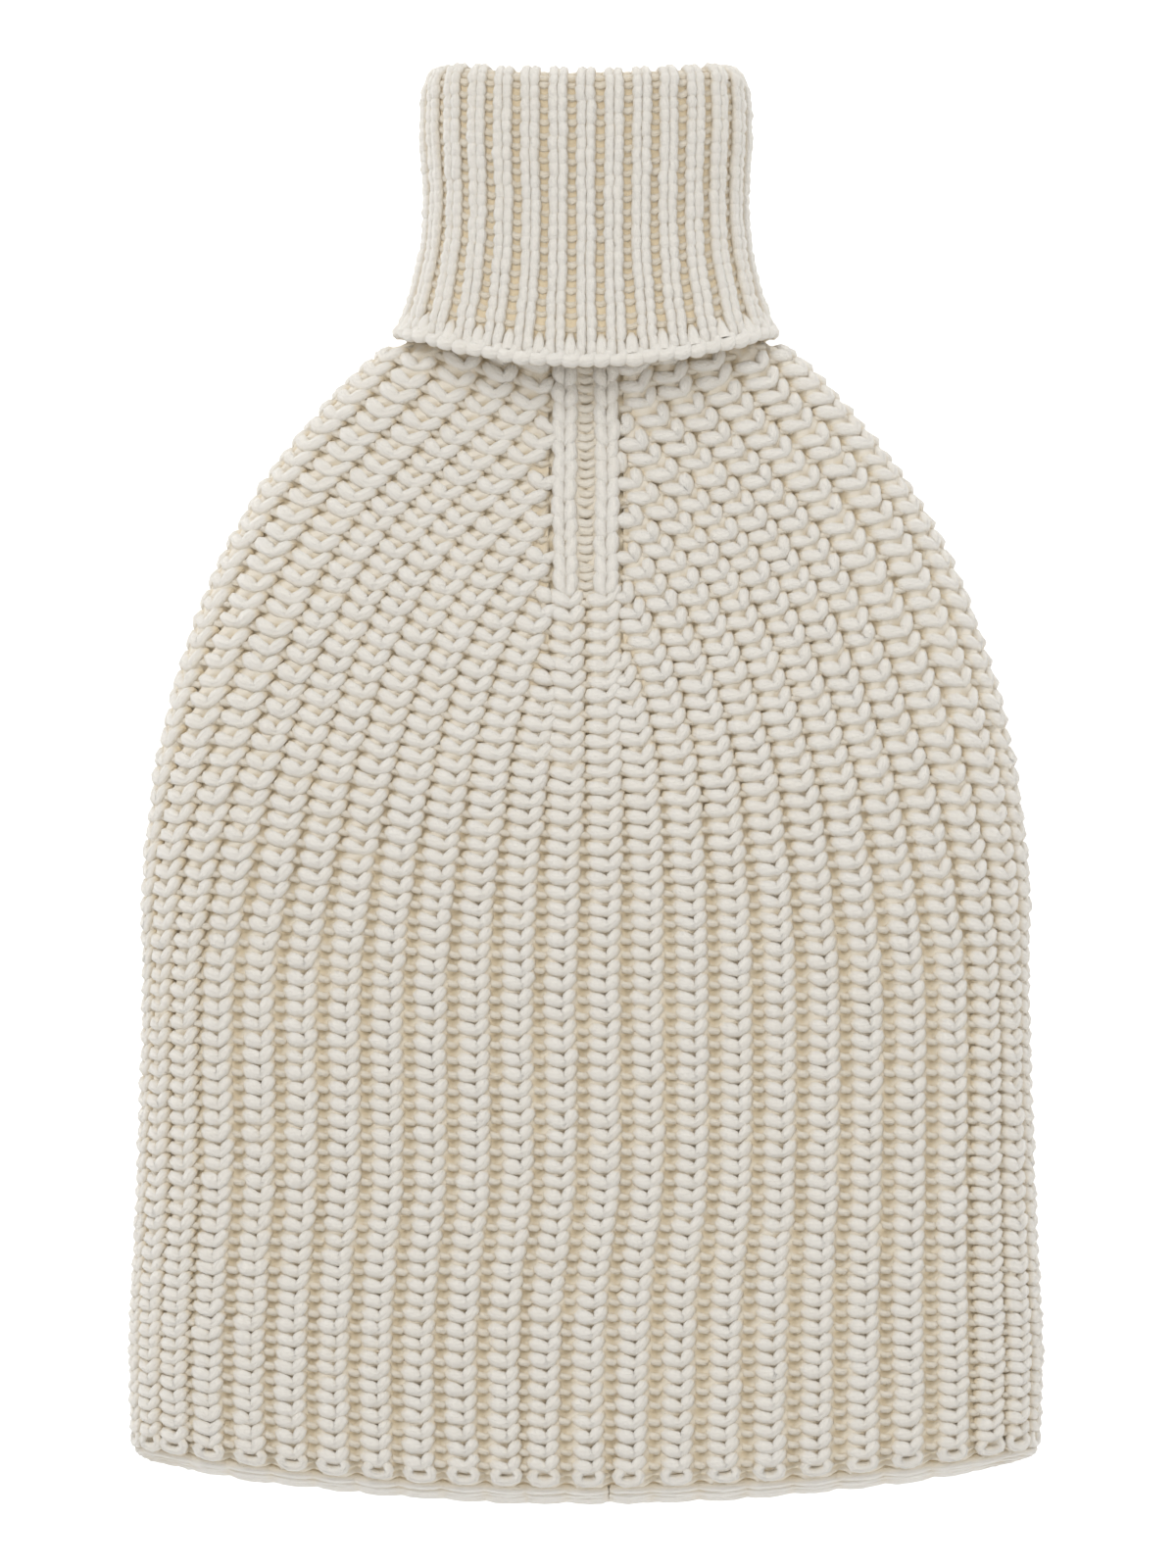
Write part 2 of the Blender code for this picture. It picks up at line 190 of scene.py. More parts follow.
def body_row(y, angle, count, inset, flat=True, ending=True):
    """One row of the body: its points, and the width of the rib at each. angle is how far the row
    has come round the lower edge, and 90 above it. flat presses the back level where it lies. Ribs
    end on the two middle columns, or where ending is false they go on under them, with no width."""
    station = smooth_row(BODY, y)
    share = math.sin(math.radians(angle))
    middle = (station.front + station.back) / 2
    line = END_HEIGHT + (middle - END_HEIGHT) * share
    half_width = station.half_width - CORNER_INSET * (1 - share) ** CORNER_POWER
    middle_rib = min(MIDDLE_RIB, station.rib) if y > 0 else station.rib
    through = [station.ninth - station.rib * (NINTH - n) for n in range(1, NINTH + 1)]
    if ending:
        inner = [0.0, middle_rib] + [max(place, middle_rib) for place in through[1:]]
        places = [*range(LAST_GROOVE + 1), SIDE_RIB]
    else:
        inner = [0.0, middle_rib] + through
        places = [0, 1, 1 + STEP_OFF / 2, *range(2, LAST_GROOVE + 1), SIDE_RIB]

    def arc_of(from_centre, quarter):
        step = (quarter - inner[-1]) / (SIDE_RIB - NINTH)
        outer = [inner[-1] + step * (n - NINTH) for n in range(NINTH + 1, LAST_GROOVE + 1)]
        return np.interp(from_centre, places, [*inner, *outer, quarter])

    x, z = slab_points(half_width, line + (station.front - middle) * share,
                       line - (middle - station.back) * share, SLAB_POWER, line, count, arc_of,
                       inset, station.drift)
    fade = min(max(1 - (y - END_Y) / BOW_RUN, 0), 1)
    rise = EDGE_BOW * fade * fade * (3 - 2 * fade) * (x / half_width) ** 2
    from_centre = np.abs(count)
    from_centre = np.where(from_centre <= SIDE_RIB, from_centre, 2 * SIDE_RIB - from_centre)
    rib = np.minimum(np.floor(from_centre - ROUND_OFF), LAST_GROOVE - 1).clip(0)
    quarter_x, quarter_z = quarter_curve(half_width, (station.front - middle) * share, SLAB_POWER)
    quarter = float(np.hypot(np.diff(quarter_x), np.diff(quarter_z)).sum())
    width = arc_of(rib + 1, quarter) - arc_of(rib + STEP_OFF, quarter)
    if not ending:
        width = np.where((from_centre > 1) & (arc_of(from_centre, quarter) < MIDDLE_EDGE), 0, width)
    return np.column_stack([x, y + rise, np.maximum(z, inset) if flat else z]), width


def body_levels(turn_step, rise):
    """Heights and turning angles of rows over the body, from the closing line up."""
    levels = [(END_Y + END_DEPTH * (1 - math.cos(math.radians(angle))), angle)
              for angle in range(FIRST_TURN, 90, turn_step)]
    count = int((BODY[-1].y - levels[-1][0]) / rise)
    return levels + [(y, 90) for y in np.linspace(levels[-1][0], BODY[-1].y, count + 1)[1:]]


def grid_mesh(name, rows, wrap=False):
    """A mesh of quads from rows of points in millimetres, facing outward."""
    count = len(rows[0])
    mesh = bpy.data.meshes.new(name)
    points = np.concatenate(rows) * MM
    faces = []
    for r in range(len(rows) - 1):
        for c in range(count - (0 if wrap else 1)):
            a, b = r * count + c, r * count + (c + 1) % count
            faces.append((a, b, b + count, a + count))
    mesh.from_pydata(points.tolist(), [], faces)
    return mesh


def way_out(rows, inner_rows):
    """The way out of the cloth at each point: away from a second set of rows a little deeper, and
    square to the ribs."""
    along = np.gradient(rows, axis=0)
    along /= np.linalg.norm(along, axis=2, keepdims=True)
    out = rows - inner_rows
    out -= (out * along).sum(axis=2, keepdims=True) * along
    return out / np.linalg.norm(out, axis=2, keepdims=True)


def pattern_surface(name, counts, rows, outward, numbers, widths, yarn, fill):
    """The surface that stitches are laid on: its UV map counts ribs across and knitted rows up.
    Each point also has the way out, the width of its rib, how full the yarn is and how much of the
    rib a stitch fills."""
    mesh = grid_mesh(name, rows)
    out = mesh.attributes.new("outward", "FLOAT_VECTOR", "POINT")
    out.data.foreach_set("vector", outward.astype(np.float32).ravel())
    for kept, values in (("rib_width", widths * MM), ("yarn", yarn), ("fill", fill)):
        values = np.broadcast_to(values, numbers.shape).astype(np.float32)
        mesh.attributes.new(kept, "FLOAT", "POINT").data.foreach_set("value", values.ravel())
    uv = mesh.uv_layers.new(name="pattern")
    across = np.tile(counts / PATTERN + 0.5, len(rows))
    flat = np.column_stack([across, np.ravel(numbers) / PATTERN])
    loops = np.empty(len(mesh.loops), dtype=np.int32)
    mesh.loops.foreach_get("vertex_index", loops)
    uv.data.foreach_set("uv", flat[loops].ravel().astype(np.float32))
    mesh.shade_smooth()
    surface = bpy.data.objects.new(name, mesh)
    bpy.context.scene.collection.objects.link(surface)
    return surface


course_table = np.array(COURSES)
course_y = np.arange(COURSES[0].y - ROW, COURSES[-1].y + 1)
courses_up = np.array([np.interp(course_y, course_table[:, 0], course_table[:, 1 + place])
                       for place in range(len(ROWS_FROM_CENTRE))])
courses_up = np.cumsum(1 / courses_up, axis=1)


def courses_at(points):
    """How many knitted rows lie between the first of the courses and each of these points."""
    y, across = points[:, 1], np.abs(points[:, 0])
    counted = np.array([np.interp(y, course_y, up) for up in courses_up])
    share = np.interp(across, ROWS_FROM_CENTRE, range(len(ROWS_FROM_CENTRE)))
    before = np.minimum(share.astype(int), len(ROWS_FROM_CENTRE) - 2)
    each = np.arange(len(points))
    return counted[before, each] * (1 - share + before) + counted[before + 1, each] * (share - before)


def counted_body(counts, ending):
    """Rows of points all the way up the body, the way out at each, the number of the knitted row
    there and the width of the rib."""
    rows, inner, numbers, widths = [], [], [], []
    centre, wrapped = len(counts) // 2, (counts + RIBS / 2) % RIBS - RIBS / 2
    for y, angle in body_levels(TURN_STEP, ROW / 2):
        points, width = body_row(y, angle, wrapped, 0.0, True, ending)
        if not rows:
            number = np.full(len(points), 0.5)
        elif points[centre, 1] < COURSES[0].y:
            number = numbers[-1] + np.linalg.norm(points[centre] - rows[-1][centre]) / ROW
        else:
            number = numbers[-1] + courses_at(points) - courses_at(rows[-1])
        inner.append(points + body_row(y, angle, wrapped, 1.0, False, ending)[0]
                     - body_row(y, angle, wrapped, 0.0, False, ending)[0])
        rows.append(points)
        numbers.append(number)
        widths.append(width)
    rows, numbers = np.array(rows), np.array(numbers)
    outward = way_out(rows, np.array(inner))
    turned = 90 // TURN_STEP
    sideways, upward = np.gradient(rows[:turned], axis=1), np.gradient(rows[:turned], axis=0)
    square = np.cross(sideways, upward)
    outward[:turned] = square / (np.linalg.norm(square, axis=2, keepdims=True) + 1e-9)
    return rows, outward, numbers, np.array(widths)


body_counts = np.arange(-(RIBS / 2 + OVERLAP) * PER_RIB, (RIBS / 2 + OVERLAP) * PER_RIB + 1) / PER_RIB
edges = [1 + STEP_OFF, RIBS / 2 - 1 - STEP_OFF]
body_counts = np.sort(np.concatenate([body_counts, edges, np.negative(edges)]))
body_rows, body_outward, body_numbers, body_widths = counted_body(body_counts, False)
# the pitch of the ribs along a knitted row, which slopes where the rows curve up
each_rib = np.gradient(body_counts)[:, None]
along_row = np.gradient(body_rows, axis=1) / each_rib
slope = np.gradient(body_numbers, axis=1) / each_rib[:, 0] / np.gradient(body_numbers, axis=0)
pitch = np.linalg.norm(along_row - slope[..., None] * np.gradient(body_rows, axis=0), axis=2)
heights = body_rows[:, :, 1]
body_fill = np.minimum(np.interp(heights, SHOULDER, LOOP_RIBS) / pitch, 1)
body_yarn = np.interp(heights, LOOSENING, [1.0, SHOULDER_YARN])
body_pattern = pattern_surface("body_pattern", body_counts, body_rows, body_outward, body_numbers,
                               body_widths, body_yarn, body_fill)
body_last_row = body_numbers[-1].max()
centre = len(body_counts) // 2

# The collar's pattern runs from its hem up to the fold and over it into the neck.
TOP_Y = 178.6
TOP_DIP = 2.4               # the fold lies lower in the middle
CORNER_DROP = 4.5           # and rounds off at both sides, in a curve of this power
DROP_POWER = 14
HEM_SIDE_Y = 111.2
HEM_MIDDLE_Y = 103.0
COLLAR_WALL = 4.6
LAYER_GAP = 1.2             # between the collar and the neck under it
NECK_WALL = 3.4
COLLAR_RIBS = 30
COLLAR_PITCH = 7.2
COLLAR_ROW = 3.15
Collar = namedtuple("Collar", "down half_width front back")
COLLAR = [
    Collar(0.0, 41.0, 42.4, 0.0),
    Collar(0.18, 41.3, 42.5, 0.0),
    Collar(0.42, 40.4, 42.1, 0.0),
    Collar(0.6, 40.9, 42.6, 0.0),
    Collar(0.78, 43.0, 44.2, 0.0),
    Collar(0.92, 45.6, 46.4, 0.0),
    Collar(1.0, 47.2, 47.8, 0.0),
]
COLLAR_STEPS = 44
FOLD_STEPS = 8
MOUTH_DEPTH = 40.0          # how far the pattern goes down inside the neck
MOUTH_STEPS = 12
MOUTH_START = 2.0           # below the fold's end


def even_arc(from_centre, quarter):
    return from_centre / SIDE_RIB * quarter


def collar_row(down, count, inset, out=0.0):
    """One row of the collar. count is the same as round the body, evenly spread."""
    row = smooth_row(COLLAR, down)
    middle = (row.front + row.back) / 2
    x, z = slab_points(row.half_width, row.front, row.back, NECK_POWER, middle, count, even_arc, inset)
    centre_share = 1 - np.minimum((x / row.half_width) ** 2, 1)
    corner_share = np.minimum(np.abs(x) / row.half_width, 1) ** DROP_POWER
    top = TOP_Y - TOP_DIP * centre_share - COLLAR_WALL - CORNER_DROP * corner_share
    hem = HEM_SIDE_Y + (HEM_MIDDLE_Y - HEM_SIDE_Y) * centre_share
    return np.column_stack([x, top + (hem - top) * down + out, z])


def neck_row(y, count, inset):
    row = smooth_row(NECK, y)
    middle = (row.front + row.back) / 2
    x, z = slab_points(row.half_width, row.front, row.back, NECK_POWER, middle, count, even_arc, inset)
    return np.column_stack([x, np.full(len(x), y), z])


collar_counts = np.linspace(-(COLLAR_RIBS / 2 + OVERLAP), COLLAR_RIBS / 2 + OVERLAP,
                            (COLLAR_RIBS + 2 * OVERLAP) * PER_RIB + 1)
collar_as_body = (collar_counts * RIBS / COLLAR_RIBS + RIBS / 2) % RIBS - RIBS / 2
downs = np.linspace(1, 0, COLLAR_STEPS)
collar_rows = [collar_row(down, collar_as_body, 0.0) for down in downs]
collar_inner = [collar_row(down, collar_as_body, 1.0) for down in downs]
fold_radius = (COLLAR_WALL + LAYER_GAP + NECK_WALL) / 2
for turn in np.linspace(0, math.pi, FOLD_STEPS + 2)[1:-1]:
    for rows, deeper in ((collar_rows, 0.0), (collar_inner, 1.0)):
        inset = fold_radius - (fold_radius - deeper) * math.cos(turn)
        rows.append(collar_row(0.0, collar_as_body, inset, (COLLAR_WALL - deeper) * math.sin(turn)))
mouth_top = TOP_Y - TOP_DIP - COLLAR_WALL - MOUTH_START
for y in np.linspace(mouth_top, TOP_Y - MOUTH_DEPTH, MOUTH_STEPS):
    collar_rows.append(neck_row(y, collar_as_body, NECK_WALL))
    collar_inner.append(neck_row(y, collar_as_body, NECK_WALL - 1.0))
middle = len(collar_counts) // 2
collar_numbers = [0.0]
for low, high in zip(collar_rows, collar_rows[1:]):
    collar_numbers.append(collar_numbers[-1] + np.linalg.norm(high[middle] - low[middle]) / COLLAR_ROW)
collar_last_row = collar_numbers[-1]
collar_numbers = np.repeat(collar_numbers, len(collar_counts)).reshape(-1, len(collar_counts))
collar_rows = np.array(collar_rows)
collar_outward = way_out(collar_rows, np.array(collar_inner))
collar_pattern = pattern_surface("collar_pattern", collar_counts, collar_rows, collar_outward,
                                 collar_numbers, COLLAR_PITCH, 1.0, 1.0)


# Wool: undyed cream yarn, spun soft and thick. To the eye it is matt and a little fuzzy, with fine
# streaks along each strand. Where it lies deep between the stitches its colour is painted darker
# and warmer: painted shade, for the light that is lost and bounced warm there. Single fibres of
# about 0.02 mm are too fine to show, so they are drawn as bumps of 0.4 mm.
# The second colour is painted shade: it stands in for the shade and warm bounced light between the
# stitches.
WOOL_LIT = "#F6F2EA"
WOOL_PAINTED_SHADE = "#F1DFBD"
PAINTED_SHADE_START, PAINTED_SHADE_FULL = 0.5 * MM, 2.9 * MM      # below the crests, between which the colour warms
CLOUD = 9 * MM              # size of faint clouds of warmer wool
STREAK = 1.6 * MM           # length of the streaks that its fibres draw along a strand
STREAKS_ROUND = 2.4         # and how densely they lie round it
FIBRE = 0.42 * MM
FUZZ = 0.85 * MM            # height of the bumps


def add(tree, kind, inputs=None, **settings):
    """Adds a node with its settings, and its inputs as values or as links from nodes or sockets."""
    made = tree.nodes.new(kind)
    for name, value in settings.items():
        setattr(made, name, value)
    for key, value in (inputs or {}).items():
        if isinstance(value, bpy.types.Node):
            value = value.outputs[0]
        if isinstance(value, bpy.types.NodeSocket):
            tree.links.new(value, made.inputs[key])
        else:
            made.inputs[key].default_value = value
    return made


wool = bpy.data.materials.new("cream wool yarn, soft spun")
wool.use_nodes = True
t = wool.node_tree
shader = t.nodes["Principled BSDF"]
shader.inputs["Roughness"].default_value = 0.92
shader.inputs["Specular IOR Level"].default_value = 0.25
shader.inputs["Sheen Weight"].default_value = 0.6
shader.inputs["Sheen Roughness"].default_value = 0.5
shader.inputs["IOR"].default_value = 1.54
strand = add(t, "ShaderNodeAttribute", attribute_name="strand").outputs["Vector"]
depth = add(t, "ShaderNodeAttribute", attribute_name="depth").outputs["Fac"]
place = add(t, "ShaderNodeTexCoord").outputs["Object"]
# Painted shade: the colour runs from the lit cream to the tan as the yarn lies deeper below the
# crests, and faint clouds of warmer wool vary it at random.
painted_shade = add(t, "ShaderNodeMapRange", {"Value": depth, "From Min": PAINTED_SHADE_START, "From Max": PAINTED_SHADE_FULL})
cloudy = add(t, "ShaderNodeTexNoise", {"Vector": place, "Scale": 1 / CLOUD, "Detail": 3.0})
uneven = add(t, "ShaderNodeMath", {0: cloudy, 1: 0.2}, operation="MULTIPLY")
shade = add(t, "ShaderNodeMath", {0: painted_shade, 1: uneven}, operation="ADD")
mix = add(t, "ShaderNodeMix", {"Factor": shade}, data_type="RGBA")
mix.inputs["A"].default_value = colour(WOOL_LIT)
mix.inputs["B"].default_value = colour(WOOL_PAINTED_SHADE)
t.links.new(mix.outputs["Result"], shader.inputs["Base Color"])
along = add(t, "ShaderNodeVectorMath", {0: strand, 1: (1 / STREAK, STREAKS_ROUND, STREAKS_ROUND)},
            operation="MULTIPLY")
streaks = add(t, "ShaderNodeTexNoise", {"Vector": along, "Scale": 1.0, "Detail": 3.0,
                                        "Roughness": 0.65})
fibres = add(t, "ShaderNodeTexNoise", {"Vector": place, "Scale": 1 / FIBRE, "Detail": 4.0,
                                       "Roughness": 0.7})
fuzz = add(t, "ShaderNodeMath", {0: fibres, 1: 0.7}, operation="MULTIPLY")
raised = add(t, "ShaderNodeMath", {0: streaks, 1: fuzz}, operation="ADD")
bump = add(t, "ShaderNodeBump", {"Height": raised, "Strength": 0.9, "Distance": FUZZ})
t.links.new(bump.outputs["Normal"], shader.inputs["Normal"])

# The cloth itself: its outside from the lower edge up the body and the neck, down the inner side of
# the collar to its hem, up the outer side and over the fold, and then the inside of neck and body.
NECK_LEVELS = (113, 118, 130, 150, 168)
NECK_OUTSIDE = 0.6          # below the crests
NECK_INSIDE = 3.2
COLLAR_INSIDE = (0.02, 0.3, 0.6, 0.8, 0.985)    # shares of the way down it
COLLAR_HEM = 0.997
COLLAR_LEVELS = 10
FOLD_LEVELS = 6
FOLD_MARGIN = 1.0           # the fold starts this much further in than its yarn
FOLD_HEIGHT = 2.2
INNER_TURN = 10             # degrees between the rows of the body's inside, which starts some rows up
INNER_START = 6
MERGE = 0.05 * MM
around = np.arange(-RIBS / 2 * PER_RIB, RIBS / 2 * PER_RIB) / PER_RIB
surface, outward, counted, widths = counted_body(around, True)
numbers = np.arange(counted[0, 0], counted[-1].max() + 0.5, 0.5)


def at_numbers(values):
    """Values given at the surface's rows, at every half of a knitted row instead."""
    columns = [[np.interp(numbers, counted[:, c], values[:, c, axis]) for c in range(len(around))]
               for axis in range(values.shape[2])]
    return np.stack(columns, axis=2).swapaxes(0, 1)


base, way, ribs = at_numbers(surface), at_numbers(outward), at_numbers(widths[..., None])
at_loop = (np.round(2 * (numbers - FIRST_LOOP)) % 2 == 0)[:, None]
groove, rib_middle = np.where(at_loop, PIT_DEPTH, BAR_DEPTH), np.where(at_loop, RIB_DEPTH, RIB_PIT)
inset = np.select([around % 1 == 0, around % 1 == 0.5], [groove, rib_middle], RIB_DEPTH)
inset -= (inset < PIT_DEPTH) * np.interp(base[..., 1], SHOULDER, [0, SHOULDER_LIFT])
inset = np.where((numbers[:, None] > counted[-1]) | (ribs[..., 0] < LEAST_RIB), BAR_DEPTH, inset)
wall = list(base - way * inset[..., None])
depths = inset.ravel() * MM
wall += [neck_row(y, around, NECK_OUTSIDE) for y in NECK_LEVELS]
wall += [collar_row(down, around, COLLAR_WALL) for down in COLLAR_INSIDE]
wall += [collar_row(down, around, BAR_DEPTH) for down in np.linspace(COLLAR_HEM, 0.0, COLLAR_LEVELS)]
for turn in np.linspace(0, math.pi, FOLD_LEVELS)[1:-1]:
    further_in = (fold_radius + FOLD_MARGIN - BAR_DEPTH) * (1 - math.cos(turn))
    wall.append(collar_row(0.0, around, BAR_DEPTH + further_in, FOLD_HEIGHT * math.sin(turn)))
wall += [neck_row(y, around, NECK_INSIDE) for y in reversed(NECK_LEVELS)]
inner_levels = body_levels(INNER_TURN, CLOTH_RISE)[INNER_START:]
wall += [body_row(y, angle, around, CLOTH_WALL)[0] for y, angle in reversed(inner_levels)]
mesh = grid_mesh("knit_cloth", wall, wrap=True)
# Each point's depth below the crests sets the wool's painted shade; the cloth beyond the body's
# outside takes the full painted shade.
depths = np.append(depths, np.full(len(mesh.vertices), PAINTED_SHADE_FULL))[:len(mesh.vertices)]
mesh.attributes.new("depth", "FLOAT", "POINT").data.foreach_set("value", depths.astype(np.float32))
knit = bmesh.new()
knit.from_mesh(mesh)
knit.verts.ensure_lookup_table()
for first in (0, len(wall) - 1):
    ring = [knit.verts[first * len(around) + c] for c in range(len(around))]
    half = len(around) // 2
    for c in range(half):
        corners = [ring[c], ring[c + 1], ring[-c - 1], ring[-c % len(around)]]
        corners = list(dict.fromkeys(corners))
        if len(corners) > 2:
            knit.faces.new(corners)
bmesh.ops.remove_doubles(knit, verts=knit.verts, dist=MERGE)
bmesh.ops.recalc_face_normals(knit, faces=knit.faces)
knit.to_mesh(mesh)
knit.free()
mesh.shade_smooth()
mesh.materials.append(wool)
cloth = bpy.data.objects.new("knit_cloth", mesh)
bpy.context.scene.collection.objects.link(cloth)
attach(cloth, "root")
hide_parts("cover")


# ---- Stitches of the body ----
# Each rib of the body is a stack of wide loops of soft yarn a little over 3 mm thick. A loop starts
# at the left, crosses the rib as a bar, and turns up at the right into a leg that tucks under the
# next bar.
YARN = 3.3 * MM
FULL_RIB = 8.5 * MM         # from this width of its rib the yarn has its full thickness
THINNEST = 0.6              # and in the slimmest ribs this share of it
JITTER = (0.025, 0.07, 0.15 * MM)   # by which a stitch is out of place: in ribs, rows, and outward
SWELL = 2.3                 # swellings of the yarn to each rib or row, between these thicknesses
THIN, THICK = 0.6, 1.4
WANDER = 0.9                # and its turns out of line to each of them
FIRST_BAR = 1.1             # rows between the round loops of the lower edge and the first of these
MIDDLE_START = 44.0         # height where the two middle columns change

Knot = namedtuple("Knot", "across up below thick")
LOOP = [
    Knot(-0.45, 0.36, 3.2, 0.75),
    Knot(-0.38, 0.24, 2.2, 1.0),
    Knot(-0.28, 0.14, 1.8, 1.14),
    Knot(-0.15, 0.04, 1.7, 1.14),
    Knot(0.00, -0.05, 1.85, 1.02),
    Knot(0.10, -0.09, 1.8, 0.95),
    Knot(0.18, 0.03, 1.65, 0.95),
    Knot(0.25, 0.26, 1.55, 1.0),
    Knot(0.32, 0.50, 1.8, 0.95),
    Knot(0.38, 0.74, 3.2, 0.75),
]


def strand_path(name, knots, between):
    """A yarn path through its knots on a smooth curve, with some points between each two. across
    is in ribs, up in rows and below in millimetres under the crests of the ribs."""
    table = np.array(knots, dtype=float)
    ends = np.vstack([2 * table[0] - table[1], table, 2 * table[-1] - table[-2]])
    points = []
    for i in range(1, len(ends) - 2):
        p0, p1, p2, p3 = ends[i - 1:i + 3]
        for s in range(between + 1):
            t = s / (between + 1)
            points.append(0.5 * (2 * p1 + (p2 - p0) * t + (2 * p0 - 5 * p1 + 4 * p2 - p3) * t**2
                                 + (3 * p1 - p0 - 3 * p2 + p3) * t**3))
    points.append(ends[-2])
    curve = bpy.data.curves.new(name, "CURVE")
    curve.dimensions = "3D"
    spline = curve.splines.new("POLY")
    spline.points.add(len(points) - 1)
    for point, (across, up, below, thick) in zip(spline.points, points):
        point.co = (across, up, -below * MM, 1)
        point.radius = thick
    path = bpy.data.objects.new(name, curve)
    bpy.context.scene.collection.objects.link(path)
    return path


def stitch_tree():
    """Repeats one stitch over a number of ribs and rows, lays it on the pattern surface by its UV
    map, and gives the yarn its thickness."""
    tree = bpy.data.node_groups.new("stitches", "GeometryNodeTree")
    for name, kind in (("Stitch", "Object"), ("Surface", "Object"), ("Ribs", "Int"), ("Rows", "Int"),
                       ("First Rib", "Float"), ("First Row", "Float"), ("Rib Step", "Float"),
                       ("Row Step", "Float"), ("Yarn", "Float"), ("Sides", "Int"),
                       ("Least Rib", "Float"), ("Full Rib", "Float"), ("Unevenness", "Float"),
                       ("Seed", "Int"), ("Wool", "Material")):
        tree.interface.new_socket(name, in_out="INPUT", socket_type="NodeSocket" + kind)
    tree.interface.new_socket("Geometry", in_out="OUTPUT", socket_type="NodeSocketGeometry")
    given = tree.nodes.new("NodeGroupInput").outputs
    end = tree.nodes.new("NodeGroupOutput")
    number, vector = "ShaderNodeMath", "ShaderNodeVectorMath"
    separate, combine = "ShaderNodeSeparateXYZ", "ShaderNodeCombineXYZ"
    store, sample = "GeometryNodeStoreNamedAttribute", "GeometryNodeSampleUVSurface"
    kept = {}
    for name, kind in (("own", "FLOAT_VECTOR"), ("pattern", "FLOAT_VECTOR"),
                       ("outward", "FLOAT_VECTOR"), ("strand_turn", "FLOAT_VECTOR"),
                       ("strand_length", "FLOAT"), ("radius", "FLOAT"), ("fill", "FLOAT"),
                       ("rib_width", "FLOAT"), ("yarn", "FLOAT"), ("thickness", "FLOAT"),
                       ("depth", "FLOAT"), ("missing", "FLOAT")):
        kept[name] = add(tree, "GeometryNodeInputNamedAttribute", {"Name": name}, data_type=kind)

    # one point for each stitch, placed by its number
    index = add(tree, "GeometryNodeInputIndex")
    rib = add(tree, number, {0: index, 1: given["Ribs"]}, operation="FLOORED_MODULO")
    across = add(tree, number, {0: rib, 1: given["Rib Step"]}, operation="MULTIPLY")
    across = add(tree, number, {0: across, 1: given["First Rib"]}, operation="ADD")
    nudged = add(tree, number, {0: index, 1: 0.001}, operation="ADD")
    row = add(tree, number, {0: nudged, 1: given["Ribs"]}, operation="DIVIDE")
    row = add(tree, number, {0: row}, operation="FLOOR")
    up = add(tree, number, {0: row, 1: given["Row Step"], 2: given["First Row"]},
             operation="MULTIPLY_ADD")
    at = add(tree, combine, {"X": across, "Y": up})
    jitter = add(tree, "FunctionNodeRandomValue", {0: [-most for most in JITTER], 1: JITTER,
                                                   "Seed": given["Seed"]}, data_type="FLOAT_VECTOR")
    at = add(tree, vector, {0: at, 1: jitter}, operation="ADD")
    count = add(tree, number, {0: given["Ribs"], 1: given["Rows"]}, operation="MULTIPLY")
    points = add(tree, "GeometryNodePoints", {"Count": count, "Position": at})
    stitch = add(tree, "GeometryNodeObjectInfo", {"Object": given["Stitch"]}).outputs["Geometry"]
    flat = add(tree, "GeometryNodeInputPosition")
    stitch = add(tree, store, {"Geometry": stitch, "Name": "own", "Value": flat},
                 data_type="FLOAT_VECTOR", domain="POINT")
    placed = add(tree, "GeometryNodeInstanceOnPoints", {"Points": points, "Instance": stitch})
    yarn = add(tree, "GeometryNodeRealizeInstances", {"Geometry": placed})

    # in a rib wider than it needs, the stitch keeps to the middle
    surface = add(tree, "GeometryNodeObjectInfo", {"Object": given["Surface"]}).outputs["Geometry"]
    to_uv = {1: (1 / PATTERN, 1 / PATTERN, 0.0), 2: (0.5, 0.0, 0.0)}
    foot = add(tree, vector, {0: flat, 1: kept["own"]}, operation="SUBTRACT")
    uv = add(tree, vector, {0: foot, **to_uv}, operation="MULTIPLY_ADD")
    fill = add(tree, sample, {"Mesh": surface, "Value": kept["fill"], "Source UV Map": kept["pattern"],
                              "Sample UV": uv}, data_type="FLOAT")
    narrower = add(tree, combine, {"X": fill, "Y": 1.0, "Z": 1.0})
    shape = add(tree, vector, {0: kept["own"], 1: narrower, 2: foot}, operation="MULTIPLY_ADD")
    yarn = add(tree, "GeometryNodeSetPosition", {"Geometry": yarn, "Position": shape})

    # what the surface says where each point of the yarn lies on it
    uv = add(tree, vector, {0: flat, **to_uv}, operation="MULTIPLY_ADD")
    found = {}
    for name, value, kind in (("place", flat, "FLOAT_VECTOR"), ("yarn", kept["yarn"], "FLOAT"),
                              ("rib_width", kept["rib_width"], "FLOAT"),
                              ("outward", kept["outward"], "FLOAT_VECTOR")):
        found[name] = add(tree, sample, {"Mesh": surface, "Value": value, "Sample UV": uv,
                                         "Source UV Map": kept["pattern"]}, data_type=kind)
    on_surface = found["place"].outputs["Is Valid"]
    missing = add(tree, number, {0: 1.0, 1: on_surface}, operation="SUBTRACT")
    width = add(tree, number, {0: found["rib_width"], 1: on_surface}, operation="MULTIPLY")
    share = add(tree, number, {0: width, 1: given["Full Rib"]}, operation="DIVIDE")
    share = add(tree, "ShaderNodeClamp", {"Value": share, "Min": THINNEST, "Max": 1.0})
    fullness = add(tree, number, {0: given["Yarn"], 1: found["yarn"]}, operation="MULTIPLY")
    uneven = add(tree, "ShaderNodeTexNoise", {"Vector": flat, "Scale": SWELL, "Detail": 1.0})
    uneven = add(tree, number, {0: uneven, 1: THICK - THIN, 2: THIN}, operation="MULTIPLY_ADD")
    thick = kept["radius"]
    for factor in (share, fullness, uneven):
        thick = add(tree, number, {0: thick, 1: factor}, operation="MULTIPLY")
